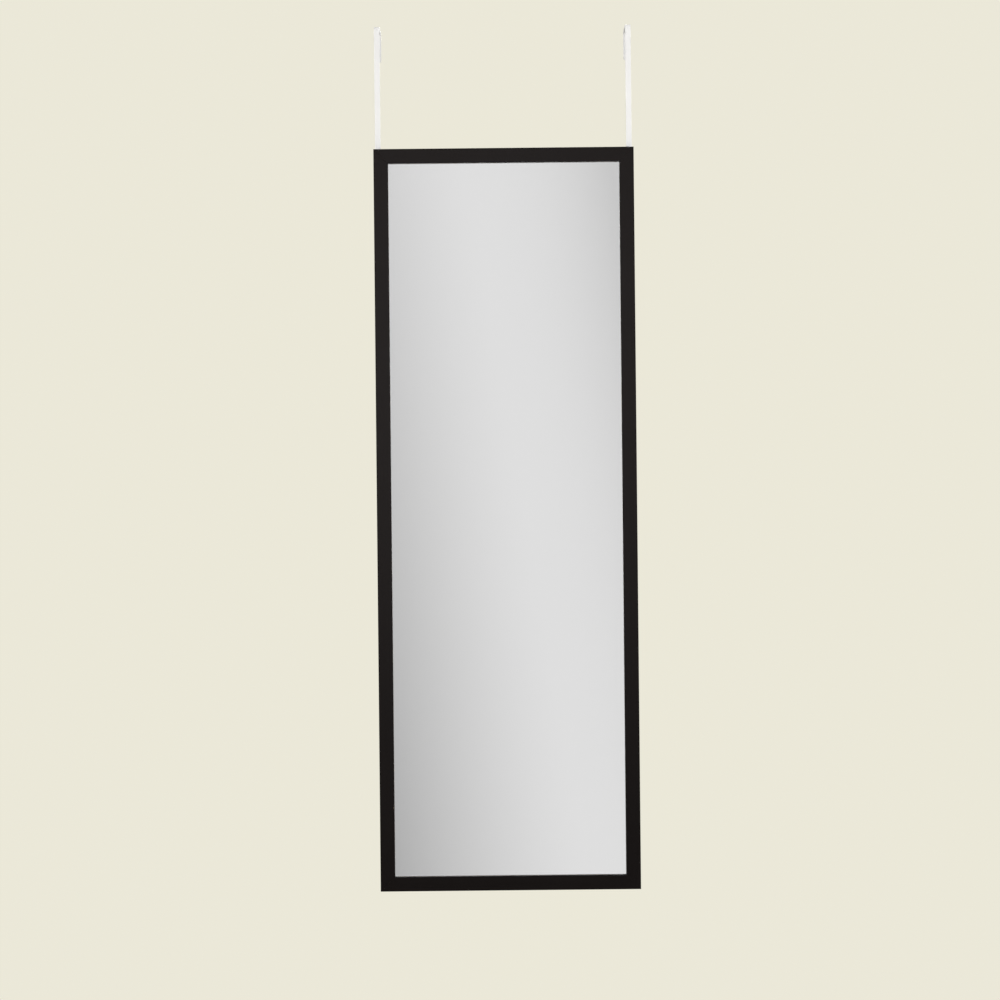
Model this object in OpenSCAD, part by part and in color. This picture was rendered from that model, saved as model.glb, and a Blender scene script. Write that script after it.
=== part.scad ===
// Over-the-door mirror. Four mitred lengths of moulding frame a silvered glass pane, and two
// strip hooks on the back of the frame pass over the top edge of a door. Two screws hold each
// hook through slots, so that the mirror can be hung higher or lower.
//
// Millimetres. X runs across the door, Y runs into it (the mirror faces -Y) and Z is up.
// The origin is on the door's top front edge, midway between the hooks.

/* [Mirror pane] */
// Width of the glass
glass_w = 300; // [260:5:380]
// Height of the glass
glass_h = 900; // [800:10:1200]
// Thickness of the glass
glass_t = 3; // [2:0.5:4]

/* [Frame moulding] */
// Width of the moulding's front face
mould_w = 18; // [17:0.5:24]
// Depth of the moulding from front to back
mould_d = 15; // [14.5:0.5:22]
// Thickness of the lip in front of the glass
lip_t = 3.5; // [2.5:0.5:4]
// How far the lip covers the edge of the glass
lip_cover = 6; // [4.5:0.5:7]
// Gap between the edge of the glass and the rabbet's wall
glass_play = 1; // [0.5:0.5:1.5]
// Radius of the moulding's outer front edge
front_edge_r = 1; // [0.5:0.1:1.5]
// Radius of the lip's edge and of the outer back edge
small_edge_r = 0.5; // [0.3:0.1:0.8]

/* [Backing] */
// Thickness of the foam sheet behind the glass
foam_t = 1; // [0.5:0.5:1.5]
// Thickness of the hardboard back
board_t = 2.5; // [2:0.5:3]
// Number of glazing points along each stile
points_per_stile = 6; // [4:1:8]
// Number of glazing points along the top rail and along the bottom rail
points_per_rail = 2; // [1:1:3]

/* [Hooks] */
// Distance from the door's top edge down to the frame, as hung
hook_drop = 152; // [130:1:200]
// Width of the hook's steel strip
strap_w = 7; // [7:0.5:8]
// Thickness of the hook's steel strip
strap_t = 1.5; // [1:0.25:1.75]
// Distance from the frame's outer edge to the middle of the strip
strap_inset = 5; // [4.5:0.5:5.5]
// Thickest door that the hook takes
door_t = 40; // [34:1:46]
// Length of the hook's leg behind the door
leg_l = 34; // [28:1:50]
// How far the hook can slide each way from its place as hung
travel = 40; // [20:5:50]

/* [Pads] */
// Thickness of the foam pads inside the hook
pad_t = 1.5; // [1:0.5:2]
// Diameter of the rubber bumpers
bumper_d = 10; // [8:0.5:10]
// Thickness of the rubber bumpers, which hold the frame off the door
bumper_t = 4.5; // [4.5:0.5:6]

/* [Hidden] */
$fn = 64;
over = 1;                                       // how far a cutting shape runs past what it cuts

// Frame and rabbet
rabbet_w = lip_cover + glass_play;
flat_w = mould_w - rabbet_w;                    // the moulding's flat back, outside the rabbet
frame_w = glass_w + 2 * (mould_w - lip_cover);
frame_h = glass_h + 2 * (mould_w - lip_cover);
frame_back = -bumper_t;
frame_front = frame_back - mould_d;
frame_top = -hook_drop;
frame_bottom = frame_top - frame_h;
frame_mid = (frame_top + frame_bottom) / 2;

// The four sides, clockwise from the top
TOP = 0;
RIGHT = 1;
BOTTOM = 2;
LEFT = 3;
side_middles = [[0, frame_top], [frame_w / 2, frame_mid], [0, frame_bottom], [-frame_w / 2, frame_mid]];
side_lengths = [frame_w, frame_h, frame_w, frame_h];
side_points = [points_per_rail, points_per_stile, points_per_rail, points_per_stile];

// What lies in the rabbet, front to back
pane_y = frame_front + lip_t;
foam_y = pane_y + glass_t;
board_y = foam_y + foam_t;
point_y = board_y + board_t;
glass_seam = 0.4;                               // the glass's sharp edges, ground off

// V-nails: bent steel plates driven into the back of each mitre
nail_leg = 3.6;
nail_t = 0.5;
nail_l = 6;
nail_insets = [6, 1.6];                         // of the two nails' bends from the rabbet's corner

// Glazing points: flat steel tabs driven into the rabbet's wall
point_t = 0.5;
point_w = 6;
point_in = 4;                                   // in the wood
point_out = 8;                                  // over the back board
point_clip = 1;                                 // clipped corners, and straight sides in the wood

// Hooks. The leg stands off the thickest door by its pad and a little play.
door_play = 1;
hook_x = frame_w / 2 - strap_inset;
strap_back = frame_back + strap_t;
saddle_z = pad_t;                               // the underside of the steel over the door
leg_y = door_t + door_play + pad_t;             // the inner face of the leg behind the door
bend_r = 2;
flare_r = 12;
flare_a = 35;
leg_end = (flare_r + strap_t) * sin(flare_a) - leg_l;   // where the leg starts to flare away
tip_y = leg_y + (flare_r + strap_t) * (1 - cos(flare_a));

// Slots and the screws in them. The upper slot stays behind the frame with the hook at its highest.
screw_r = 1.5;
slot_play = 0.2;                                // beside the screw
slot_end_play = 0.5;                            // past the screw at the end of the travel
slot_w = 2 * (screw_r + slot_play);
slot_l = 2 * (travel + screw_r + slot_end_play);
slot_bridge = 12;                               // solid strip between the two slots
slot_margin = 5;                                // solid strip below the lower slot
screw_high = frame_top - slot_margin - travel - slot_l / 2;
screw_low = screw_high - slot_l - slot_bridge;
strap_end = screw_low - slot_l / 2 - slot_margin;
strap_end_r = 0.55 * strap_w;                   // a little flatter than a half circle

// Screw, washer, pads and bumpers. The pads stay within the strip and the door's two faces.
head_r = 3.2;
head_h = 1.8;
head_skirt_h = 0.5;                             // straight side below the dome
head_dome_h = head_h - head_skirt_h;
head_dome_r = (head_r ^ 2 + head_dome_h ^ 2) / (2 * head_dome_h);
recess_l = 3.4;
recess_w = 0.8;
recess_h = 1.1;
thread_l = 9;                                   // below the strip, in the stile
tip_l = 2;                                      // the screw's sharp end
tip_r = 0.2;
washer_r = 3.5;
washer_t = 0.5;
washer_play = 0.1;
pad_w = strap_w - 0.5;
saddle_pad_l = door_t - 4;
leg_pad_top = -6;
leg_pad_l = leg_pad_top - leg_end;
bumper_up = 26;                                 // from the frame's bottom edge
bumper_side_h = 1;                              // straight side at the frame
bumper_taper = 1;                               // from there to the face, on the radius
dimple_r = 1.6;                                 // in the bumper's face
dimple_h = 0.8;

// ---------------------------------------------------------------- shared shapes

// Puts a piece drawn for the top rail on the given side. It is drawn with the frame's outer
// edge at Z = 0, the inside of the frame below it, and the middle of the side at X = 0.
module on_side(side) {
    translate([side_middles[side][0], 0, side_middles[side][1]])
        rotate([0, 90 * side, 0])
            children();
}

// Extrudes a (Y, Z) outline along X, centred
module across(length) {
    translate([-length / 2, 0, 0])
        rotate([90, 0, 90])
            linear_extrude(length)
                children();
}

// Extrudes an (X, Z) outline backwards from the given Y
module backwards(from_y, depth) {
    translate([0, from_y + depth, 0])
        rotate([90, 0, 0])
            linear_extrude(depth)
                children();
}

// What is cut off a square corner at the origin to round it. The material lies at +X +Y.
module rounding(r) {
    difference() {
        translate([-over, -over])
            square(r + over);
        translate([r, r])
            circle(r);
    }
}

// One flat ring sector, from the angle 180 on
module bend(inner_r, angle) {
    reach = 2 * (inner_r + strap_t);
    intersection() {
        difference() {
            circle(inner_r + strap_t);
            circle(inner_r);
        }
        polygon([[0, 0], [-reach, 0],
            [-reach, -reach * tan(angle / 2)],
            reach * [-cos(angle), -sin(angle)]]);
    }
}

// ---------------------------------------------------------------- frame

// Section of the moulding, as (Y, Z): a flat face, a lip, and a rabbet that is open at the back
module moulding_section() {
    difference() {
        translate([frame_front, -mould_w])
            square([mould_d, mould_w]);
        translate([pane_y, -mould_w - over])
            square([mould_d, rabbet_w + over]);
        translate([frame_front, 0])
            mirror([0, 1])
                rounding(front_edge_r);
        translate([frame_front, -mould_w])
            rounding(small_edge_r);
        translate([frame_back, 0])
            mirror([1, 0])
                mirror([0, 1])
                    rounding(small_edge_r);
    }
}

// One length of moulding with both ends cut to 45 degrees
module mitred_moulding(length) {
    intersection() {
        across(length)
            moulding_section();
        backwards(frame_front - over, mould_d + 2 * over)
            polygon([[-length / 2 - over, over], [length / 2 + over, over], [0, -length / 2]]);
    }
}

// A side of the frame, with the pockets of everything that is driven into it
module frame_side(side) {
    color([0.14, 0.125, 0.125])
        difference() {
            on_side(side)
                mitred_moulding(side_lengths[side]);
            v_nails();
            points_on(side);
            for (hand = [-1, 1])
                screws_on(hand);
        }
}

module frame_top_rail() frame_side(TOP);
module frame_bottom_rail() frame_side(BOTTOM);
module frame_left_stile() frame_side(LEFT);
module frame_right_stile() frame_side(RIGHT);

// One V-nail at a corner of the frame, with its bend on the mitre, at the given distance from
// both outer edges. The corner is at the origin and the frame lies at +X +Z.
module v_nail(at) {
    backwards(frame_back - nail_l, nail_l)
        translate([at - nail_leg, at - nail_leg])
            difference() {
                square(nail_leg);
                translate([-over, -over])
                    square(nail_leg - nail_t + over);
            }
}

// Two nails in each mitre
module v_nails() {
    for (hand = [0, 1], end = [0, 1], inset = nail_insets)
        mirror([hand, 0, 0])
            translate([-frame_w / 2, 0, end == 0 ? frame_bottom : frame_top])
                mirror([0, 0, end])
                    v_nail(flat_w - inset);
}

module corner_v_nails() color("silver") v_nails();

// ---------------------------------------------------------------- pane and backing

// A sheet the size of the glass, in the rabbet
module rabbet_sheet(y, thickness) {
    translate([-glass_w / 2, y, frame_mid - glass_h / 2])
        cube([glass_w, thickness, glass_h]);
}

// A rectangle with its corners cut off at 45 degrees, centred
module clipped_square(width, height, clip) {
    x = width / 2;
    y = height / 2;
    polygon([[x, y - clip], [x - clip, y], [clip - x, y], [-x, y - clip],
        [-x, clip - y], [clip - x, -y], [x - clip, -y], [x, clip - y]]);
}

// The glass. A cut across it, either way, has the seams' clipped corners.
module mirror_pane() {
    color([0.78, 0.80, 0.81])
        translate([0, pane_y + glass_t / 2, frame_mid])
            intersection() {
                across(glass_w)
                    clipped_square(glass_t, glass_h, glass_seam);
                translate([0, 0, -glass_h / 2])
                    linear_extrude(glass_h)
                        clipped_square(glass_w, glass_t, glass_seam);
            }
}

module foam_sheet() color("whitesmoke") rabbet_sheet(foam_y, foam_t);
module back_board() color([0.47, 0.33, 0.20]) rabbet_sheet(board_y, board_t);

// Outline of a glazing point, as (X, Z), with the rabbet's wall at Z = 0
module point_outline() {
    half = point_w / 2;
    polygon([[0, point_in], [half, point_clip],
        [half, point_clip - point_out], [half - point_clip, -point_out],
        [point_clip - half, -point_out], [-half, point_clip - point_out],
        [-half, point_clip]]);
}

// The glazing points of one side, evenly spaced, each lying on the back board
module points_on(side) {
    count = side_points[side];
    pitch = side_lengths[side] / count;
    on_side(side)
        for (i = [0 : count - 1])
            translate([(i - (count - 1) / 2) * pitch, 0, -flat_w])
                backwards(point_y, point_t)
                    point_outline();
}

module glazing_points() {
    color([0.35, 0.36, 0.38])
        for (side = [TOP : LEFT])
            points_on(side);
}

// ---------------------------------------------------------------- hooks

// Side view of the strip, as (Y, Z): up the back of the frame, over the door, and down behind
// it, with the tip flared so that it slides on easily
module strap_line() {
    bend_z = saddle_z - bend_r;
    translate([frame_back, strap_end])
        square([strap_t, bend_z - strap_end]);
    translate([strap_back + bend_r, bend_z])
        mirror([0, 1])
            bend(bend_r, 90);
    translate([strap_back + bend_r, saddle_z])
        square([leg_y - strap_back - 2 * bend_r, strap_t]);
    translate([leg_y - bend_r, bend_z])
        mirror([1, 0])
            mirror([0, 1])
                bend(bend_r, 90);
    translate([leg_y, leg_end])
        square([strap_t, bend_z - leg_end]);
    translate([leg_y + strap_t + flare_r, leg_end])
        bend(flare_r, flare_a);
}

// What is cut off the lower end of a strip, at the given height, to round it
module round_end(y, depth, z) {
    backwards(y - over, depth + 2 * over)
        difference() {
            translate([-strap_w, z - over])
                square([2 * strap_w, over + strap_end_r]);
            translate([0, z + strap_end_r])
                circle(strap_end_r);
        }
}

// One slot through the strip, with the screw in its middle as hung
module slot(z) {
    backwards(frame_back - over, strap_t + 2 * over) {
        translate([-slot_w / 2, z - (slot_l - slot_w) / 2])
            square([slot_w, slot_l - slot_w]);
        for (end = [-1, 1])
            translate([0, z + end * (slot_l - slot_w) / 2])
                circle(d = slot_w);
    }
}

module hook(hand) {
    color([0.94, 0.93, 0.95])
        translate([hand * hook_x, 0, 0])
            difference() {
                across(strap_w)
                    strap_line();
                slot(screw_high);
                slot(screw_low);
                round_end(frame_back, strap_t, strap_end);
                round_end(leg_y, tip_y + strap_t - leg_y, -leg_l);
            }
}

module left_hook() hook(-1);
module right_hook() hook(1);

// Foam pads that keep the steel off the door's top edge and its far face
module saddle_pad(hand) {
    color("gainsboro")
        translate([hand * hook_x - pad_w / 2, (door_t - saddle_pad_l) / 2, 0])
            cube([pad_w, saddle_pad_l, pad_t]);
}

module leg_pad(hand) {
    color("gainsboro")
        translate([hand * hook_x - pad_w / 2, leg_y - pad_t, leg_end])
            cube([pad_w, pad_t, leg_pad_l]);
}

module left_saddle_pad() saddle_pad(-1);
module right_saddle_pad() saddle_pad(1);
module left_leg_pad() leg_pad(-1);
module right_leg_pad() leg_pad(1);

// A pan-head wood screw along Z, with the underside of its head at Z = 0
module screw() {
    shank_l = washer_t + strap_t + thread_l - tip_l;
    difference() {
        intersection() {
            cylinder(r = head_r, h = head_h);
            translate([0, 0, head_h - head_dome_r])
                sphere(head_dome_r);
        }
        for (turn = [0, 90])
            rotate(turn)
                translate([-recess_l / 2, -recess_w / 2, head_h - recess_h])
                    cube([recess_l, recess_w, recess_h + over]);
    }
    translate([0, 0, -shank_l])
        cylinder(r = screw_r, h = shank_l);
    translate([0, 0, -shank_l - tip_l])
        cylinder(r1 = tip_r, r2 = screw_r, h = tip_l);
}

// Puts a piece at both screws of one hook, pointing back, at the given Y
module at_screws(hand, y) {
    for (z = [screw_high, screw_low])
        translate([hand * hook_x, y, z])
            rotate([-90, 0, 0])
                children();
}

module screws_on(hand) {
    at_screws(hand, strap_back + washer_t)
        screw();
}

module left_hook_screws() color("silver") screws_on(-1);
module right_hook_screws() color("silver") screws_on(1);

module washers_on(hand) {
    color("silver")
        at_screws(hand, strap_back)
            difference() {
                cylinder(r = washer_r, h = washer_t);
                translate([0, 0, -over])
                    cylinder(r = screw_r + washer_play, h = washer_t + 2 * over);
            }
}

module left_hook_washers() washers_on(-1);
module right_hook_washers() washers_on(1);

// ---------------------------------------------------------------- bumpers

// A rubber button on the back of the stile, tapered towards the door, with a dimple in its face
module bumper(hand) {
    foot_r = bumper_d / 2;
    face_r = foot_r - bumper_taper;
    color([0.12, 0.12, 0.12])
        translate([hand * (frame_w / 2 - flat_w / 2), frame_back, frame_bottom + bumper_up])
            rotate([-90, 0, 0])
                rotate_extrude()
                    difference() {
                        polygon([[0, 0], [foot_r, 0], [foot_r, bumper_side_h],
                            [face_r, bumper_t], [0, bumper_t]]);
                        translate([0, bumper_t - dimple_h])
                            square([dimple_r, dimple_h + over]);
                    }
}

module lower_left_bumper() bumper(-1);
module lower_right_bumper() bumper(1);

// ---------------------------------------------------------------- nodes

frame_top_rail();
frame_bottom_rail();
frame_left_stile();
frame_right_stile();
corner_v_nails();
mirror_pane();
foam_sheet();
back_board();
glazing_points();
left_hook();
right_hook();
left_saddle_pad();
right_saddle_pad();
left_leg_pad();
right_leg_pad();
left_hook_screws();
right_hook_screws();
left_hook_washers();
right_hook_washers();
lower_left_bumper();
lower_right_bumper();
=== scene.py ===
import math

import bpy
from mathutils import Matrix, Vector


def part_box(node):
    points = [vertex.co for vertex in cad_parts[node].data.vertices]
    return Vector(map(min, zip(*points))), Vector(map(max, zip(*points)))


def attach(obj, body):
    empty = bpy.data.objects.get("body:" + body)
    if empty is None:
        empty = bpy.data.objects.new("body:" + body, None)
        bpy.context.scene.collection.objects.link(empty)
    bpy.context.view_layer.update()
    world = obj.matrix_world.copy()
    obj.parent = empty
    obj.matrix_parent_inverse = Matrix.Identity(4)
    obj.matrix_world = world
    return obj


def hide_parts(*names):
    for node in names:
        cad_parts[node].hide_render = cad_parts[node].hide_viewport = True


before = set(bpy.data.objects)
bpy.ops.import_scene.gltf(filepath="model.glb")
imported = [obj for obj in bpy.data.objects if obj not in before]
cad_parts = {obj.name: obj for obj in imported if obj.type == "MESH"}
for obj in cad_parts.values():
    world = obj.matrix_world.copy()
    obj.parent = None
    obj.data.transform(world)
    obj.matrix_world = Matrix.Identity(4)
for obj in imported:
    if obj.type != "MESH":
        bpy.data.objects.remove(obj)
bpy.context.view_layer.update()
millimetre = 0.001


# Shader tools: an expression on wires adds its Math nodes

class Wire:
    def __init__(self, finish, socket):
        self.finish = finish
        self.socket = socket

    def __add__(self, other):
        return self.finish.maths("ADD", self, other)

    __radd__ = __add__

    def __sub__(self, other):
        return self.finish.maths("SUBTRACT", self, other)

    def __rsub__(self, other):
        return self.finish.maths("SUBTRACT", other, self)

    def __mul__(self, other):
        return self.finish.maths("MULTIPLY", self, other)

    __rmul__ = __mul__

    def __truediv__(self, other):
        return self.finish.maths("DIVIDE", self, other)

    def __pow__(self, other):
        return self.finish.maths("POWER", self, other)

    def __neg__(self):
        return self.finish.maths("SUBTRACT", 0.0, self)

    def __abs__(self):
        return self.finish.maths("ABSOLUTE", self)


class Finish:
    def __init__(self, name, holder=None):
        self.holder = holder or bpy.data.materials.new(name)
        self.holder.use_nodes = True
        self.tree = self.holder.node_tree
        self.tree.nodes.clear()

    def node(self, kind, settings=None, inputs=None, out=0):
        made = self.tree.nodes.new(kind)
        for key, value in (settings or {}).items():
            setattr(made, key, value)
        for key, value in (inputs or {}).items():
            if isinstance(value, Wire):
                self.tree.links.new(value.socket, made.inputs[key])
            else:
                made.inputs[key].default_value = value
        return Wire(self, made.outputs[out]) if made.outputs else None

    def maths(self, operation, *values):
        return self.node("ShaderNodeMath", {"operation": operation}, dict(enumerate(values)))

    def lesser(self, one, other):
        return self.maths("MINIMUM", one, other)

    def greater(self, one, other):
        return self.maths("MAXIMUM", one, other)

    def above(self, value, edge, softness):  # 0 below the edge, 1 above it
        inputs = {"Value": value, "From Min": edge - softness, "From Max": edge + softness}
        return self.node("ShaderNodeMapRange", {"clamp": True}, inputs)

    def mix(self, factor, first, second):  # of two colours
        settings = {"data_type": "RGBA", "clamp_factor": True}
        return self.node("ShaderNodeMix", settings, {0: factor, 6: first, 7: second}, 2)

    def between(self, ends, share):  # a number from the first of the ends to the second
        return ends[0] + share * (ends[1] - ends[0])

    def place(self):
        return self.node("ShaderNodeTexCoord", out="Object")

    def axes(self, vector):
        outputs = self.node("ShaderNodeSeparateXYZ", None, {0: vector}).socket.node.outputs
        return [Wire(self, outputs[name]) for name in "XYZ"]

    def stretched(self, vector, scale):
        return self.node("ShaderNodeMapping", None, {"Vector": vector, "Scale": scale})

    def noise(self, vector, scale, detail=3.0, roughness=0.55):
        inputs = {"Vector": vector, "Scale": scale, "Detail": detail, "Roughness": roughness}
        return self.node("ShaderNodeTexNoise", None, inputs, "Fac")

    def cells(self, vector, scale):
        return self.node("ShaderNodeTexVoronoi", None, {"Vector": vector, "Scale": scale})

    def ray(self, kind):
        return self.node("ShaderNodeLightPath", out=kind)

    def bump(self, height, depth, strength):
        inputs = {"Height": height, "Distance": depth, "Strength": strength}
        return self.node("ShaderNodeBump", None, inputs)

    def surface(self, inputs):
        shader = self.node("ShaderNodeBsdfPrincipled", None, inputs)
        self.node("ShaderNodeOutputMaterial", None, {"Surface": shader})
        return self.holder


# Mesh tools

meshValues = {
    "merge": 0.002 * millimetre,          # points nearer than this become one
    "flat": 0.4,                          # degrees; faces that turn by less become one
    "sharp": 32,                          # degrees; edges that turn by more are bevelled
    "smooth": 40,                         # degrees; edges that turn by less are shaded smooth
}


def pick(*pieces):
    bpy.ops.object.select_all(action="DESELECT")
    for piece in pieces:
        piece.select_set(True)
    bpy.context.view_layer.objects.active = pieces[0]


def named(name):
    piece = bpy.context.active_object
    piece.name = name
    piece.data.name = name
    return piece


def settled(piece):  # place and size go into the mesh
    pick(piece)
    bpy.ops.object.transform_apply(location=True, rotation=True, scale=True)
    return piece


def modified(piece, kind, **settings):
    pick(piece)
    modifier = piece.modifiers.new(kind.lower(), kind)
    for key, value in settings.items():
        setattr(modifier, key, value)
    bpy.ops.object.modifier_apply(modifier=modifier.name)
    return piece


def edited(piece, *steps):  # each step is an edit mode operator with its settings
    pick(piece)
    bpy.ops.object.mode_set(mode="EDIT")
    bpy.ops.mesh.select_all(action="SELECT")
    for operator, settings in steps:
        operator(**settings)
    bpy.ops.object.mode_set(mode="OBJECT")
    return piece


def noneChosen(piece):
    pick(piece)
    bpy.ops.object.mode_set(mode="EDIT")
    bpy.ops.mesh.select_all(action="DESELECT")
    bpy.ops.object.mode_set(mode="OBJECT")


def facesChosen(piece, test):
    noneChosen(piece)
    for face in piece.data.polygons:
        face.select = test(face.center, face.normal)


def pointsChosen(piece, test):
    noneChosen(piece)
    for vertex in piece.data.vertices:
        vertex.select = test(vertex.co)


def sharpEdgesChosen(piece, test):  # those with both ends where the test says
    noneChosen(piece)
    bpy.ops.object.mode_set(mode="EDIT")
    bpy.ops.mesh.select_mode(type="EDGE")
    bpy.ops.mesh.edges_select_sharp(sharpness=math.radians(meshValues["sharp"]))
    bpy.ops.object.mode_set(mode="OBJECT")
    points = piece.data.vertices
    sharp = [edge for edge in piece.data.edges if edge.select]
    chosen = [edge.index for edge in sharp if all(test(points[end].co) for end in edge.vertices)]
    noneChosen(piece)
    for index in chosen:
        piece.data.edges[index].select = True


def edgesBevelled(piece, width, segments=2, sharp=meshValues["sharp"], **others):
    return modified(
        piece, "BEVEL", width=width, segments=segments, limit_method="ANGLE",
        angle_limit=math.radians(sharp), face_strength_mode="FSTR_ALL", **others,
    )


def smoothed(piece, smooth=meshValues["smooth"]):  # flat faces stay flat beside their bevels
    pick(piece)
    bpy.ops.object.shade_smooth_by_angle(angle=math.radians(smooth))
    return modified(piece, "WEIGHTED_NORMAL", keep_sharp=True, weight=80, use_face_influence=True)


def merged(piece, *more):  # points that lie together become one, and other steps may follow
    nearby = {"threshold": meshValues["merge"]}
    return edited(
        piece,
        (bpy.ops.mesh.remove_doubles, nearby),
        (bpy.ops.mesh.dissolve_degenerate, nearby),
        *more,
    )


def slab(name, low, high):
    bpy.ops.mesh.primitive_cube_add(size=1, location=(low + high) / 2)
    piece = named(name)
    piece.scale = high - low
    return settled(piece)


def copyOf(source, name):
    piece = source.copy()
    piece.data = source.data.copy()
    bpy.context.scene.collection.objects.link(piece)
    pick(piece)
    return named(name)


def copyOfNode(node, name):  # the solid's own shape, as whole faces
    piece = copyOf(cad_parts[node], name)
    piece.parent = None
    for key in list(piece.keys()):
        del piece[key]
    piece.data.materials.clear()
    flat = math.radians(meshValues["flat"])
    return merged(piece, (bpy.ops.mesh.dissolve_limited, {"angle_limit": flat}))


def edgedCopy(node, name, bevel, segments=2, **others):
    return smoothed(edgesBevelled(copyOfNode(node, name), bevel, segments, **others))


def combined(piece, other, operation):  # and the other piece is used up
    modified(piece, "BOOLEAN", object=other, operation=operation, solver="EXACT")
    bpy.data.objects.remove(other)
    return merged(piece)


def handIn(piece, body, slot, material, *nodes):
    piece.data.materials.clear()
    piece.data.materials.append(material)
    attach(piece, body)
    if nodes:
        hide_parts(*nodes)


# Where the parts lie, from the frame's solids

class Box:
    def __init__(self, *nodes):
        corners = [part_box(node) for node in nodes]
        self.low = Vector([min(low[i] for low, high in corners) for i in range(3)])
        self.high = Vector([max(high[i] for low, high in corners) for i in range(3)])
        self.middle = (self.low + self.high) / 2
        self.size = self.high - self.low


outer = Box("frame_top_rail", "frame_bottom_rail")
pane = Box("mirror_pane")
hook = Box("right_hook")
screws = Box("right_hook_screws")
washers = Box("right_hook_washers")
print("frame loaded")


# Camera: straight on, as in the photograph, with the mirror's slight turn given to the camera

cameraValues = {
    "distance": 3.2,                      # from the frame's face
    "metresPerPixel": 0.001244,           # at the frame's face
    "pictureSize": 1000,
    "mirrorCentre": (507.0, 519.2),       # pixels
    "roll": -0.58,                        # degrees
    "sensor": 36.0,
}


def makeCamera():
    values = cameraValues
    half = values["pictureSize"] / 2
    offX = (values["mirrorCentre"][0] - half) * values["metresPerPixel"]
    offZ = (half - values["mirrorCentre"][1]) * values["metresPerPixel"]
    place = Vector((outer.middle.x - offX, outer.low.y - values["distance"], outer.middle.z - offZ))
    bpy.ops.object.camera_add(location=place)
    camera = bpy.context.active_object
    camera.name = "camera"
    upright = Matrix.Rotation(math.radians(90), 4, "X")
    roll = Matrix.Rotation(math.radians(values["roll"]), 4, "Z")
    camera.matrix_world = Matrix.Translation(place) @ (upright @ roll)
    camera.data.sensor_width = values["sensor"]
    wide = values["pictureSize"] * values["metresPerPixel"]
    camera.data.lens = values["sensor"] * values["distance"] / wide
    bpy.context.scene.camera = camera


makeCamera()
print("camera placed")


# Frame: mitred lengths of foil-wrapped fibreboard. Fine broken edges leave a hairline at each mitre.

mouldingValues = {
    "edge": 0.14 * millimetre,
    "black": (0.0049, 0.0036, 0.0033, 1.0),
    "bloom": (0.0089, 0.0073, 0.0068, 1.0),  # the foil's greyer clouds
    "fibreLight": (0.47, 0.34, 0.21, 1.0),
    "fibreDark": (0.30, 0.205, 0.12, 1.0),
    "grain": {"rail": (0.03, 1.0, 1.0), "stile": (1.0, 1.0, 0.03)},  # long along the moulding
    "scale": {"clouds": 22.0, "streaks": 700.0, "specks": 2600.0, "fibres": 900.0, "blotches": 60.0},
    "roughness": {"foil": 0.26, "clouds": 0.10, "streaks": 0.06, "bare": 0.45},
    "sheen": 0.06,                        # the foil's specular level, and its tint
    "sheenTint": (1.0, 0.91, 0.90, 1.0),
    "relief": (0.02 * millimetre, 0.5),   # depth and strength
    "foilReturn": 3.2 * millimetre,       # width of the foil folded on to the back
    "wallGap": 1.2 * millimetre,          # from the glass to just inside the rabbet's wall
    "cutLine": 0.012 * millimetre,        # of bare board showing in a mitre
    "blend": 0.05 * millimetre,           # where the foil gives way to bare board
}


def blackMoulding(kind):
    finish = Finish("black_moulding_" + kind)
    values = mouldingValues
    scale, rough, blend = values["scale"], values["roughness"], values["blend"]
    place = finish.place()
    x, y, z = finish.axes(place)
    fromSides = outer.high.x - abs(x)
    fromEnds = finish.lesser(outer.high.z - z, z - outer.low.z)
    fromEdge = finish.lesser(fromSides, fromEnds)
    wallDepth = outer.high.x - pane.high.x - values["wallGap"]
    onBack = finish.above(y, outer.high.y - 5 * blend, blend)
    inward = finish.above(fromEdge, values["foilReturn"], 3 * blend)
    behindLip = finish.above(y, pane.low.y - 2 * blend, blend)
    inRabbet = finish.above(fromEdge, wallDepth, 2 * blend)
    cut = 1 - finish.above(abs(fromSides - fromEnds), values["cutLine"], values["cutLine"] / 3)
    raw = finish.greater(cut, finish.greater(onBack * inward, behindLip * inRabbet))

    fibres = finish.noise(place, scale["fibres"], 5.0, 0.65)
    blotches = finish.noise(place, scale["blotches"])
    bare = finish.mix(fibres * 0.7 + blotches * 0.3, values["fibreDark"], values["fibreLight"])
    clouds = finish.noise(place, scale["clouds"], 4.0)
    streaks = finish.noise(finish.stretched(place, values["grain"][kind]), scale["streaks"], 4.0, 0.6)
    foil = finish.mix(clouds * 0.5 + streaks * 0.3, values["black"], values["bloom"])
    specks = finish.noise(place, scale["specks"], 2.0)
    height = (streaks * 0.6 + specks * 0.25) * (1 - raw) + fibres * raw
    foilRoughness = rough["foil"] + clouds * rough["clouds"] + streaks * rough["streaks"]
    return finish.surface({
        "Base Color": finish.mix(raw, foil, bare),
        "Roughness": foilRoughness + raw * rough["bare"],
        "Specular IOR Level": values["sheen"],
        "Specular Tint": values["sheenTint"],
        "Normal": finish.bump(height, *values["relief"]),
    })


def makeMoulding():
    for kind, ends in (("rail", ("top", "bottom")), ("stile", ("left", "right"))):
        material = blackMoulding(kind)
        # Tiny edges in the screw holes and pockets would hold the bevels back, so they don't clamp
        bevelling = {"use_clamp_overlap": False, "loop_slide": kind == "rail"}
        for end in ends:
            side = end + "_" + kind
            piece = edgedCopy("frame_" + side, "moulding_" + side, mouldingValues["edge"], **bevelling)
            handIn(piece, "mirror", "black_moulding", material, "frame_" + side)


makeMoulding()
print("frame made")


# Pane: clear glass with seamed edges, and behind it the silver with its backing paint

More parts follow.
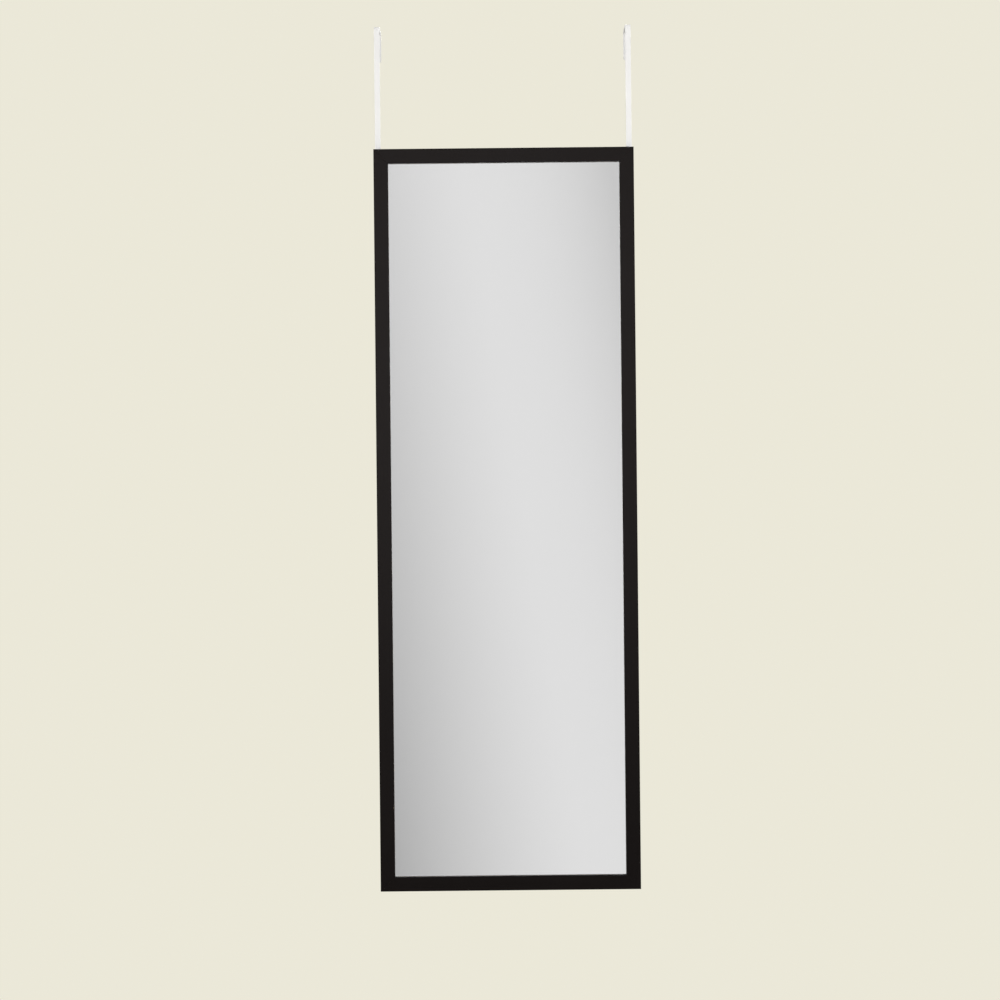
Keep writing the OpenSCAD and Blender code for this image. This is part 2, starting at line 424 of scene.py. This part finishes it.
paneValues = {
    "silverDepth": 0.08 * millimetre,
    "seam": 0.4 * millimetre,             # width of the ground edges
    "silver": (0.929, 0.918, 0.9245, 1.0),
    "silverBright": (0.944, 0.931, 0.9375, 1.0),
    "paint": (0.17, 0.19, 0.20, 1.0),
    "paintRoughness": 0.55,
    "glass": (0.985, 0.997, 0.990, 1.0),
    "glassIor": 1.52,
    "groundRoughness": (0.25, 0.55),      # least and most, on the seams
    "scale": {"grinding": 1500.0, "clouds": 3.0},
}


def clearGlass():
    finish = Finish("pane_glass")
    values = paneValues
    place = finish.place()
    x, y, z = finish.axes(place)
    fromEdge = finish.lesser(pane.high.x - abs(x), finish.lesser(pane.high.z - z, z - pane.low.z))
    ground = 1 - finish.above(fromEdge, values["seam"] * 1.1, 0.03 * millimetre)
    grinding = finish.noise(place, values["scale"]["grinding"])
    return finish.surface({
        "Base Color": values["glass"],
        "Roughness": ground * finish.between(values["groundRoughness"], grinding),
        "IOR": values["glassIor"],
        "Transmission Weight": 1.0,
    })


def silverCoat():
    finish = Finish("pane_silver")
    values = paneValues
    place = finish.place()
    x, y, z = finish.axes(place)
    painted = finish.above(y, pane.high.y - values["silverDepth"] / 3, 0.01 * millimetre)
    clouds = finish.noise(place, values["scale"]["clouds"], 2.0)
    silver = finish.mix(clouds, values["silver"], values["silverBright"])
    return finish.surface({
        "Base Color": finish.mix(painted, silver, values["paint"]),
        "Metallic": 1 - painted,
        "Roughness": painted * values["paintRoughness"],
    })


def makePane():
    values = paneValues
    split = pane.high.y - values["silverDepth"]
    clear = slab("pane_glass", pane.low, Vector((pane.high.x, split, pane.high.z)))
    smoothed(edgesBevelled(clear, values["seam"], 1))
    handIn(clear, "mirror", "silvered_glass", clearGlass(), "mirror_pane")
    inset = Vector((values["seam"], 0, values["seam"]))
    coat = slab("pane_silver", Vector((pane.low.x, split, pane.low.z)) + inset, pane.high - inset)
    edgesBevelled(coat, values["silverDepth"] / 4, 1)
    handIn(coat, "mirror", "silvered_glass", silverCoat())


makePane()
print("pane made")


# Backing: foam sheet, hardboard, glazing points and V-nails

boardValues = {
    "edge": 0.3 * millimetre,
    "dark": (0.115, 0.058, 0.027, 1.0),
    "light": (0.25, 0.14, 0.072, 1.0),
    "fleck": (0.36, 0.23, 0.13, 1.0),
    "fleckShare": 0.66,                   # of the noise that stays clear of flecks
    "scale": {"fibres": 420.0, "blotches": 14.0, "flecks": 1500.0},
    "grain": (1.0, 1.0, 0.6),             # the fibres lie a little along the sheet
    "roughness": (0.62, 0.82),            # least and most
    "screenPitch": 1.25 * millimetre,     # of the wire screen that the wet board was pressed on
    "relief": (0.08 * millimetre, 0.7),
}
foamValues = {
    "edge": 0.25 * millimetre,
    "white": (0.90, 0.90, 0.89, 1.0),
    "grey": (0.78, 0.78, 0.77, 1.0),
    "scale": {"cells": 1900.0, "clouds": 240.0},
    "roughness": (0.82, 0.92),
    "relief": (0.12 * millimetre, 0.8),
    "fill": 0.9,                          # 0 is slack and 1 is tight
}
steelValues = {
    "tabEdge": 0.06 * millimetre,
    "zinc": (0.50, 0.50, 0.52, 1.0),
    "zincBright": (0.68, 0.68, 0.67, 1.0),
    "scale": {"clouds": 160.0, "specks": 2500.0},
    "roughness": (0.27, 0.47),
    "relief": (0.01 * millimetre, 0.5),
}


def hardboard():
    finish = Finish("hardboard")
    values = boardValues
    scale = values["scale"]
    place = finish.place()
    x, y, z = finish.axes(place)
    fibres = finish.noise(finish.stretched(place, values["grain"]), scale["fibres"], 6.0, 0.7)
    blotches = finish.noise(place, scale["blotches"])
    flecks = finish.above(finish.noise(place, scale["flecks"], 2.0), values["fleckShare"], 0.05)
    colour = finish.mix(fibres * 0.65 + blotches * 0.35, values["dark"], values["light"])
    turns = 2 * math.pi / values["screenPitch"]
    screen = finish.greater(finish.maths("SINE", x * turns), finish.maths("SINE", z * turns))
    return finish.surface({
        "Base Color": finish.mix(flecks * 0.5, colour, values["fleck"]),
        "Roughness": finish.between(values["roughness"], fibres),
        "Normal": finish.bump(screen * 0.6 + fibres, *values["relief"]),
    })


def whiteFoam():
    finish = Finish("white_foam")
    values = foamValues
    place = finish.place()
    cell = finish.cells(place, values["scale"]["cells"])
    return finish.surface({
        "Base Color": finish.mix(cell, values["grey"], values["white"]),
        "Roughness": finish.between(values["roughness"], finish.noise(place, values["scale"]["clouds"])),
        "Normal": finish.bump(cell, *values["relief"]),
    })


def zincedSteel():
    finish = Finish("zinced_steel")
    values = steelValues
    place = finish.place()
    clouds = finish.noise(place, values["scale"]["clouds"], 4.0)
    specks = finish.noise(place, values["scale"]["specks"], 2.0)
    return finish.surface({
        "Base Color": finish.mix(clouds, values["zinc"], values["zincBright"]),
        "Metallic": 1.0,
        "Roughness": finish.between(values["roughness"], clouds),
        "Normal": finish.bump(specks, *values["relief"]),
    })


foam = whiteFoam()
zinc = zincedSteel()


def makeBacking():
    board = edgedCopy("back_board", "hardboard_back", boardValues["edge"])
    handIn(board, "mirror", "hardboard", hardboard(), "back_board")
    room = Box("foam_sheet")
    sheet = slab("foam_interleaf", room.low, room.high)
    smoothed(edgesBevelled(sheet, foamValues["edge"], 3))
    handIn(sheet, "mirror", "white_foam", foam, "foam_sheet")
    for node in ("glazing_points", "corner_v_nails"):
        tabs = edgedCopy(node, "steel_" + node, steelValues["tabEdge"])
        handIn(tabs, "mirror", "fixing_steel", zinc, node)


makeBacking()
print("backing made")


# Hooks: bent steel strips, white coated, a little rubbed beside the slots

hookValues = {
    "edge": 0.22 * millimetre,
    "slack": 0.015 * millimetre,          # all round, so that the strip slides between its neighbours
    "tip": {"y": 44.85 * millimetre, "z": -33.1 * millimetre},  # past both, the leg is at its end
    "white": (0.89, 0.883, 0.862, 1.0),
    "shade": (0.86, 0.850, 0.832, 1.0),
    "rubbed": (0.50, 0.49, 0.48, 1.0),
    "rubWidth": (1.9 * millimetre, 3.3 * millimetre),  # from the slot's middle line
    "rubLength": 46 * millimetre,         # past the screws
    "rubShare": {"clear": 0.56, "strength": 0.6, "roughness": 0.2},
    "rubGrain": (1.0, 1.0, 0.05),         # the washers rub up and down
    "scale": {"rub": 1500.0, "clouds": 30.0, "peel": 850.0},
    "roughness": (0.30, 0.40),
    "relief": (0.03 * millimetre, 0.6),   # of the coating's faint orange peel
    "blend": 0.05 * millimetre,
}


def whiteCoating():
    finish = Finish("white_coating")
    values = hookValues
    place = finish.place()
    x, y, z = finish.axes(place)
    scale, share, blend = values["scale"], values["rubShare"], values["blend"]
    inner, edge = values["rubWidth"]
    fromLine = abs(abs(x) - hook.middle.x)
    besideSlot = finish.above(fromLine, inner, 4 * blend) * (1 - finish.above(fromLine, edge, 3 * blend))
    reach = screws.size.z / 2 + values["rubLength"]
    atSlots = 1 - finish.above(abs(z - screws.middle.z), reach, 4 * millimetre)
    outerFace = finish.above(y, washers.low.y - 3 * blend, blend)
    streaks = finish.noise(finish.stretched(place, values["rubGrain"]), scale["rub"], 4.0)
    rub = besideSlot * atSlots * outerFace * finish.above(streaks, share["clear"], 0.06)
    clouds = finish.noise(place, scale["clouds"])
    peel = finish.noise(place, scale["peel"], 2.0, 0.4)
    coat = finish.mix(clouds, values["white"], values["shade"])
    return finish.surface({
        "Base Color": finish.mix(rub * share["strength"], coat, values["rubbed"]),
        "Roughness": finish.between(values["roughness"], clouds) + rub * share["roughness"],
        "Normal": finish.bump(peel, *values["relief"]),
    })


def roundedStrip(node):  # all but the sheared tip of its leg
    values = hookValues
    tip = values["tip"]
    strip = copyOfNode(node, "strip_" + node)
    sharpEdgesChosen(strip, lambda point: point.y < tip["y"] or point.z > tip["z"])
    bpy.ops.object.mode_set(mode="EDIT")
    bpy.ops.mesh.bevel(offset=values["edge"], segments=2, loop_slide=False, face_strength_mode="ALL")
    bpy.ops.mesh.select_mode(type="VERT")
    bpy.ops.object.mode_set(mode="OBJECT")
    edited(strip, (bpy.ops.transform.shrink_fatten, {"value": -values["slack"]}))
    return smoothed(strip)


def makeHooks():
    coating = whiteCoating()
    for side in ("left", "right"):
        node = side + "_hook"
        strip = roundedStrip(node)
        handIn(strip, side + "_hook_body", "white_coated_steel", coating, node)


makeHooks()
print("hooks made")


# Pads: strips of closed-cell foam glued inside the hooks

padValues = {
    "rounding": 0.35 * millimetre,
    "grid": 4.2 * millimetre,             # length of the mesh faces that the surface waves on
    "waves": 0.03 * millimetre,
    "waveLength": 1.6 * millimetre,
    "smooth": 60,                         # degrees
}


def makePads(where):
    values = padValues
    room = Box("right_" + where + "_pad")
    inset = Vector([values["waves"]] * 3)
    pad = slab("foam_pad", room.low + inset, room.high - inset)
    edgesBevelled(pad, values["rounding"], 3)
    edited(pad, (bpy.ops.mesh.subdivide, {"number_cuts": round(max(room.size) / values["grid"])}))
    waves = bpy.data.textures.new("pad_waves", "CLOUDS")
    waves.noise_scale = values["waveLength"]
    modified(pad, "DISPLACE", texture=waves, strength=values["waves"], mid_level=0.5)
    smoothed(pad, values["smooth"])
    for side, shift in (("left", -2 * room.middle.x), ("right", 0)):
        node = side + "_" + where + "_pad"
        copy = copyOf(pad, "foam_" + node)
        copy.location.x = shift
        handIn(settled(copy), side + "_hook_body", "white_foam", foam, node)
    bpy.data.objects.remove(pad)


makePads("saddle")
makePads("leg")
print("pads made")


# Screws: pan heads with a cross recess, a plain neck, and a cut thread that runs out to a point

screwValues = {
    "headRadius": 3.2 * millimetre,
    "headSides": 48,
    "skirt": 0.5 * millimetre,            # straight side of the head
    "rings": 7,                           # of faces that round the head
    "headEdge": 0.07 * millimetre,
    "headSharp": 50,                      # degrees; the dome's rings turn by less
    "washerEdge": 0.08 * millimetre,
    "recessLength": 3.4 * millimetre,
    "recessWidth": 0.85 * millimetre,
    "recessDepth": 1.15 * millimetre,
    "recessTaper": (0.42, 0.8),           # the bottom's length and width, as shares of the top's
    "neckRadius": 1.25 * millimetre,
    "neckSides": 32,
    "neck": 2.0 * millimetre,             # in the washer and the strip
    "pitch": 1.1 * millimetre,
    "root": 1.02 * millimetre,            # radii of the thread
    "crest": 1.47 * millimetre,
    "profile": ((0.0, "root"), (0.3, "root"), (0.6, "crest"), (0.7, "crest"), (1.0, "root")),
    "point": 2.6 * millimetre,
    "tip": 0.07,                          # of the thread's width, at its end
    "threadSteps": 20,
    "sunk": 0.17 * millimetre,            # of the neck into the head, and of the thread into the neck
    "turns": (35, 85),                    # degrees that the upper and the lower screw were left at
    "smooth": 35,                         # degrees
}


def makeHead(height):
    values = screwValues
    radius, skirt = values["headRadius"], values["skirt"]
    bpy.ops.mesh.primitive_cylinder_add(
        vertices=values["headSides"], radius=radius, depth=skirt, location=(0, 0, skirt / 2)
    )
    head = settled(named("screw_head"))
    dome = height - skirt
    sphere = (radius * radius + dome * dome) / (2 * dome)
    sweep = math.asin(radius / sphere)
    facesChosen(head, lambda centre, normal: normal.z > 0.9)
    bpy.ops.object.mode_set(mode="EDIT")
    wide, up = radius, 0.0
    for ring in range(1, values["rings"] + 1):
        angle = sweep * (1 - ring / (values["rings"] + 1))
        newWide = sphere * math.sin(angle)
        newUp = dome - sphere * (1 - math.cos(angle))
        bpy.ops.mesh.extrude_region_move(TRANSFORM_OT_translate={"value": (0, 0, newUp - up)})
        bpy.ops.transform.resize(value=(newWide / wide, newWide / wide, 1))
        wide, up = newWide, newUp
    bpy.ops.object.mode_set(mode="OBJECT")
    combined(head, makeRecess(height), "DIFFERENCE")
    return edgesBevelled(head, values["headEdge"], sharp=values["headSharp"])


def makeRecess(height):
    values = screwValues
    size = Vector((values["recessLength"], values["recessWidth"], 0)) / 2
    deep = Vector((0, 0, values["recessDepth"]))
    top = Vector((0, 0, height))
    arms = []
    for turn in (0, 90):
        arm = slab("recess", top - size - deep, top + size + deep)
        facesChosen(arm, lambda centre, normal: normal.z < -0.9)
        bpy.ops.object.mode_set(mode="EDIT")
        bpy.ops.transform.resize(value=(*values["recessTaper"], 1))
        bpy.ops.object.mode_set(mode="OBJECT")
        arm.rotation_euler.z = math.radians(turn)
        arms.append(settled(arm))
    return combined(arms[0], arms[1], "UNION")


def makeNeck():
    values = screwValues
    low, high = -values["neck"], values["sunk"]
    bpy.ops.mesh.primitive_cylinder_add(
        vertices=values["neckSides"], radius=values["neckRadius"], depth=high - low,
        location=(0, 0, (low + high) / 2),
    )
    return settled(named("screw_neck"))


def makeThread(length):
    values = screwValues
    bpy.ops.mesh.primitive_grid_add(x_subdivisions=1, y_subdivisions=4, size=2)
    thread = named("screw_thread")
    pointsChosen(thread, lambda point: point.x > 0)
    bpy.ops.object.mode_set(mode="EDIT")
    bpy.ops.mesh.delete(type="VERT")
    bpy.ops.object.mode_set(mode="OBJECT")
    bottom = -length - values["pitch"]
    points = sorted(thread.data.vertices, key=lambda vertex: vertex.co.y)
    for vertex, (share, level) in zip(points, values["profile"]):
        vertex.co = (values[level], 0, bottom + share * values["pitch"])
    modified(
        thread, "SCREW", axis="Z", iterations=math.ceil(length / values["pitch"]) + 1,
        screw_offset=values["pitch"], angle=2 * math.pi, steps=values["threadSteps"],
        render_steps=values["threadSteps"], use_merge_vertices=True, merge_threshold=1e-6,
    )
    top = values["sunk"] - values["neck"]
    cut = {"plane_no": (0, 0, 1), "use_fill": True, "threshold": 1e-7}
    edited(
        thread,
        (bpy.ops.mesh.remove_doubles, {"threshold": 1e-6}),
        (bpy.ops.mesh.normals_make_consistent, {"inside": False}),
        (bpy.ops.mesh.bisect, {"plane_co": (0, 0, top), "clear_outer": True, **cut}),
        (bpy.ops.mesh.select_all, {"action": "SELECT"}),
        (bpy.ops.mesh.bisect, {"plane_co": (0, 0, -length), "clear_inner": True, **cut}),
    )
    for vertex in thread.data.vertices:
        share = min(1.0, (vertex.co.z + length) / values["point"])
        slim = values["tip"] + (1 - values["tip"]) * share
        vertex.co.x *= slim
        vertex.co.y *= slim
    return thread


def makeScrews():
    values = screwValues
    length = washers.high.y - screws.low.y
    screw = makeHead(screws.high.y - washers.high.y)
    combined(screw, makeNeck(), "UNION")
    combined(screw, makeThread(length), "UNION")
    smoothed(screw, values["smooth"])
    screw.rotation_euler.x = math.radians(-90)
    settled(screw)
    radius = washers.size.x / 2
    heights = (washers.high.z - radius, washers.low.z + radius)
    for side, hand in (("left", -1), ("right", 1)):
        pair = []
        for turn, height in zip(values["turns"], heights):
            copy = copyOf(screw, "screw")
            copy.rotation_euler.y = math.radians(turn)
            copy.location = (hand * hook.middle.x, washers.high.y, height)
            pair.append(settled(copy))
        pick(*pair)
        bpy.ops.object.join()
        node = side + "_hook_screws"
        handIn(named("screws_" + side + "_hook"), "mirror", "fixing_steel", zinc, node)
        node = side + "_hook_washers"
        rings = edgedCopy(node, "washers_" + side + "_hook", values["washerEdge"])
        handIn(rings, "mirror", "fixing_steel", zinc, node)
    bpy.data.objects.remove(screw)


makeScrews()
print("screws and washers made")


# Bumpers: black rubber buttons low on the back of the stiles

bumperValues = {
    "rounding": 0.38 * millimetre,
    "black": (0.010, 0.010, 0.010, 1.0),
    "dusty": (0.024, 0.023, 0.023, 1.0),
    "cloudScale": 400.0,
    "roughness": (0.58, 0.78),
    "relief": (0.03 * millimetre, 0.5),
}


def blackRubber():
    finish = Finish("black_rubber")
    values = bumperValues
    clouds = finish.noise(finish.place(), values["cloudScale"])
    return finish.surface({
        "Base Color": finish.mix(clouds, values["black"], values["dusty"]),
        "Roughness": finish.between(values["roughness"], clouds),
        "Normal": finish.bump(clouds, *values["relief"]),
    })


def makeBumpers():
    rubber = blackRubber()
    for side in ("left", "right"):
        node = "lower_" + side + "_bumper"
        bumper = edgedCopy(node, "rubber_" + node, bumperValues["rounding"], 4)
        handIn(bumper, "mirror", "black_rubber", rubber, node)


makeBumpers()
print("bumpers made")


# Studio: softboxes that only the mirror and the camera look through, a pale backdrop and a pale floor

softboxValues = {
    "key": {"place": (-0.15, -2.65, -0.2), "radius": 0.75, "strength": 4.9},
    "fill": {"place": (2.1, -1.3, 0.45), "radius": 0.9, "strength": 3.6},
    "side": {"place": (-2.3, 0.2, 0.3), "radius": 0.8, "strength": 3.2},
    "behind": {"place": (0.7, 2.5, 0.8), "radius": 0.8, "strength": 5.0},
}


def softboxGlow(strength):
    finish = Finish("softbox_glow")
    hidden = finish.greater(finish.ray("Is Camera Ray"), finish.ray("Is Singular Ray"))
    glow = finish.node("ShaderNodeEmission", None, {"Strength": strength})
    clear = finish.node("ShaderNodeBsdfTransparent")
    shown = finish.node("ShaderNodeMixShader", None, {0: hidden, 1: glow, 2: clear})
    finish.node("ShaderNodeOutputMaterial", None, {"Surface": shown})
    return finish.holder


def makeSoftboxes():
    for name, values in softboxValues.items():
        place = Vector(values["place"])
        bpy.ops.mesh.primitive_circle_add(radius=values["radius"], fill_type="NGON", location=place)
        box = named("softbox_" + name)
        box.rotation_euler = (outer.middle - place).to_track_quat("Z", "Y").to_euler()
        settled(box).data.materials.append(softboxGlow(values["strength"]))


worldValues = {
    "backdrop": (0.831, 0.807, 0.690, 1.0),
    "aside": (0.69, 0.665, 0.57, 1.0),    # the backdrop to the sides and behind the camera
    "above": (0.50, 0.497, 0.492, 1.0),   # soft light, from above and from below
    "below": (0.36, 0.357, 0.350, 1.0),
    "brightest": 0.796,                   # of what the mirror shows
    "ridge": 0.031,                       # metres; where its brightest band crosses the camera's height
    "lean": -0.160,                       # of the band, sideways for each metre up
    "fallRight": {"drop": 0.128, "width": 0.141, "curve": 2.4},
    "fallLeft": {"drop": 0.422, "width": 0.237, "curve": 1.42},
    "fallEnd": 1.25,                      # widths from the ridge; past it nothing gets darker
    "leastAhead": 0.08,                   # keeps the rays that look sideways within bounds
    "patchDark": (0.50, 0.50, 0.495, 1.0),  # further off, it shows soft patches
    "patchLight": (0.90, 0.90, 0.885, 1.0),
    "patchScale": (2.6, 2.6, 3.4),
    "patchEdge": (0.48, 0.2),             # level of the noise, and softness
    "patchStart": (0.28, 0.16),           # how far off they begin, and softness
    "backdropEdge": (0.75, 0.2),          # how far ahead a ray points on the backdrop, and softness
    "horizonSoftness": 0.35,              # between the light from above and from below
}


def makeWorld():
    values = worldValues
    world = bpy.data.worlds.new("studio")
    bpy.context.scene.world = world
    finish = Finish("studio", world)
    direction = finish.node("ShaderNodeTexCoord", out="Generated")
    x, y, z = finish.axes(direction)
    forward = finish.greater(-y, values["leastAhead"])
    across = x / forward
    up = z / forward
    fromRidge = (across - up * values["lean"]) * cameraValues["distance"] - values["ridge"]

    def fall(distance, drop, width, curve):
        share = finish.lesser(finish.greater(distance / width, 0.0), values["fallEnd"])
        return share ** curve * drop

    def light(colour, strength):
        return finish.node("ShaderNodeBackground", None, {"Color": colour, "Strength": strength})

    def either(choice, first, second):
        return finish.node("ShaderNodeMixShader", None, {0: choice, 1: first, 2: second})

    near = 1 - fall(-fromRidge, **values["fallLeft"]) - fall(fromRidge, **values["fallRight"])
    soft = finish.noise(finish.stretched(direction, values["patchScale"]), 1.0, 0.0)
    patches = finish.above(soft, *values["patchEdge"])
    further = finish.mix(patches, values["patchDark"], values["patchLight"])
    away = finish.above((across * across + up * up * 0.5) ** 0.5, *values["patchStart"])
    white = (1.0, 1.0, 1.0, 1.0)
    mirrored = either(away, light(white, near * values["brightest"]), light(further, 1.0))
    upward = finish.above(z, 0.0, values["horizonSoftness"])
    ambient = light(finish.mix(upward, values["below"], values["above"]), 1.0)
    unseen = either(finish.ray("Is Singular Ray"), ambient, mirrored)
    ahead = finish.above(y, *values["backdropEdge"])
    backdrop = finish.mix(ahead, values["aside"], values["backdrop"])
    shown = either(finish.ray("Is Camera Ray"), unseen, light(backdrop, 1.0))
    finish.node("ShaderNodeOutputWorld", None, {"Surface": shown})


floorValues = {
    "height": -2.03,
    "radius": 2.6,
    "colour": (0.65, 0.635, 0.572, 1.0),
    "speck": (0.625, 0.61, 0.55, 1.0),
    "speckScale": 40.0,
    "speckShare": 0.4,
    "fade": (0.7, 0.28),                  # where the floor clears and how softly, in radii
}


def makeFloor():
    values = floorValues
    bpy.ops.mesh.primitive_circle_add(
        vertices=96, radius=values["radius"], fill_type="NGON", location=(0, 0, values["height"])
    )
    floor = settled(named("floor"))
    finish = Finish("floor")
    place = finish.place()
    x, y, z = finish.axes(place)
    away = (x * x + y * y) ** 0.5
    gone = finish.above(away, *[share * values["radius"] for share in values["fade"]])
    specks = finish.noise(place, values["speckScale"]) * values["speckShare"]
    colour = finish.mix(specks, values["colour"], values["speck"])
    plain = finish.node("ShaderNodeBsdfDiffuse", None, {"Color": colour})
    clear = finish.node("ShaderNodeBsdfTransparent")
    shown = finish.node("ShaderNodeMixShader", None, {0: gone, 1: plain, 2: clear})
    finish.node("ShaderNodeOutputMaterial", None, {"Surface": shown})
    floor.data.materials.append(finish.holder)


makeSoftboxes()
makeWorld()
makeFloor()
bpy.context.scene.view_settings.view_transform = "Standard"
print("studio made")
